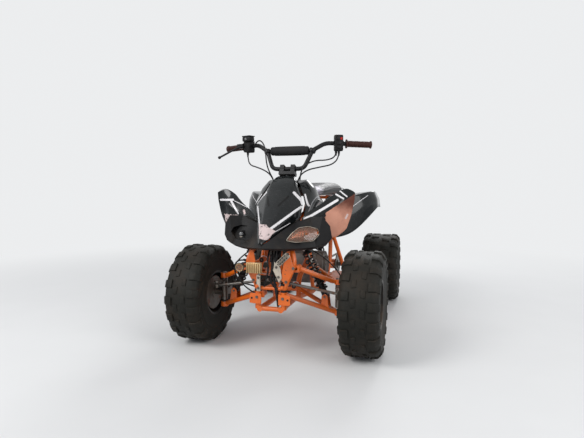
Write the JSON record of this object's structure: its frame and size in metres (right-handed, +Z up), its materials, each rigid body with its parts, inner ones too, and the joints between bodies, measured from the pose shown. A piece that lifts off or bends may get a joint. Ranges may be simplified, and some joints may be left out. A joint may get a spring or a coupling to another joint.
{
  "type": "quad bike",
  "caption": "Sport quad bike with double front arms, knobbly tyres, steered front wheels on knuckles, solid rear axle and pointed plastic bodywork.",
  "frame": {"origin": "middle of the bounding box's base: on the ground, midway between the wheels", "axes": "+X to the rider's left, -Y forward, +Z up"},
  "size_m": [1.001, 1.5986, 1.0471],
  "materials": {
    "orange_frame": "powder coat, chipped and dusty",
    "black_steel": "satin black paint",
    "plain_steel": "dull, dirty steel",
    "engine_metal": "cast casing, oily dust",
    "aluminium": "cast, dull",
    "chain_steel": "oiled",
    "black_gloss": "glossy with white stripes",
    "black_matte": "grained",
    "lens_amber": "clear lens over a copper reflector",
    "lens_red": "clear red",
    "seat_vinyl": "vinyl, worn pale in front",
    "grip_rubber": "ribbed",
    "pad_vinyl": "padded cover",
    "rim_paint": "black paint, dusty",
    "tyre": "knobbly, dusty"
  },
  "bodies": {
    "chassis": {"frame_cradle": "orange_frame", "front_tower": "orange_frame", "tower_rear_hoop": "orange_frame", "tower_rails": "orange_frame", "stem_bearing": "orange_frame", "front_plates": "aluminium", "frame_backbone": "orange_frame", "control_cables": "grip_rubber", "brake_hose_left": "grip_rubber", "brake_hose_right": "grip_rubber", "rear_subframe": "orange_frame", "arms_left": "orange_frame", "arms_right": "orange_frame", "front_shock_left": "black_steel", "front_shock_right": "black_steel", "rear_shock": "black_steel", "swingarm": "orange_frame", "engine": "engine_metal", "chain": "chain_steel", "exhaust": "black_steel", "hood": "black_gloss", "lamp_surround": "black_matte", "headlamp_lens": "lens_amber", "lamp_socket": "black_matte", "front_fender_left": "black_gloss", "front_fender_right": "black_gloss", "tank_cover": "black_gloss", "rear_fender_left": "black_gloss", "rear_fender_right": "black_gloss", "seat": "seat_vinyl", "tail_lamp": "lens_red", "footrest_left": "orange_frame", "footrest_right": "orange_frame", "regulator_box": "aluminium", "hanging_lamp": "aluminium"},
    "steering": {"handlebar": "black_steel", "steering_stem": "black_steel", "grips": "grip_rubber", "switch_box": "black_matte", "brake_control": "black_matte", "bar_pad": "pad_vinyl"},
    "tie_rod_left": {"tie_rod_left": "plain_steel"},
    "tie_rod_right": {"tie_rod_right": "plain_steel"},
    "rear_axle": {"rear_axle": "plain_steel", "rear_rim_left": "rim_paint", "rear_rim_right": "rim_paint", "rear_tyre_left": "tyre", "rear_tyre_right": "tyre"},
    "knuckle_left": {"knuckle_left": "plain_steel"},
    "front_wheel_left": {"front_hub_left": "plain_steel", "front_rim_left": "rim_paint", "front_tyre_left": "tyre"},
    "knuckle_right": {"knuckle_right": "plain_steel"},
    "front_wheel_right": {"front_hub_right": "plain_steel", "front_rim_right": "rim_paint", "front_tyre_right": "tyre"}
  },
  "joints": [
    {"name": "steering", "type": "hinge", "parent": "chassis", "child": "steering", "pos_m": [0, -0.5813, 0.345], "axis": [0, 0.3338, 0.9426], "range_deg": [-35, 35], "deforming": ["control_cables"]},
    {"name": "kingpin_left", "type": "hinge", "parent": "chassis", "child": "knuckle_left", "pos_m": [0.29, -0.5393, 0.26], "axis": [0, 0, 1], "range_deg": [-35, 35], "deforming": ["brake_hose_left"]},
    {"name": "tie_rod_pivot_left", "type": "hinge", "parent": "steering", "child": "tie_rod_left", "pos_m": [0.02, -0.64143, 0.34296], "axis": [0, 0.3338, 0.9426], "range_deg": [-35, 35]},
    {"name": "front_wheel_spin_left", "type": "hinge", "parent": "knuckle_left", "child": "front_wheel_left", "pos_m": [0.41, -0.5393, 0.2415], "axis": [1, 0, 0], "continuous": true},
    {"name": "kingpin_right", "type": "hinge", "parent": "chassis", "child": "knuckle_right", "pos_m": [-0.29, -0.5393, 0.26], "axis": [0, 0, 1], "range_deg": [-35, 35], "deforming": ["brake_hose_right"]},
    {"name": "tie_rod_pivot_right", "type": "hinge", "parent": "steering", "child": "tie_rod_right", "pos_m": [-0.02, -0.64143, 0.34296], "axis": [0, 0.3338, 0.9426], "range_deg": [-35, 35]},
    {"name": "front_wheel_spin_right", "type": "hinge", "parent": "knuckle_right", "child": "front_wheel_right", "pos_m": [-0.41, -0.5393, 0.2415], "axis": [1, 0, 0], "continuous": true},
    {"name": "rear_axle_spin", "type": "hinge", "parent": "chassis", "child": "rear_axle", "pos_m": [0, 0.5707, 0.2286], "axis": [1, 0, 0], "continuous": true}
  ],
  "couplings": [
    {"joint": "kingpin_left", "follows": "steering", "ratio": 1},
    {"joint": "tie_rod_pivot_left", "follows": "steering", "ratio": -1},
    {"joint": "kingpin_right", "follows": "steering", "ratio": 1},
    {"joint": "tie_rod_pivot_right", "follows": "steering", "ratio": -1}
  ]
}
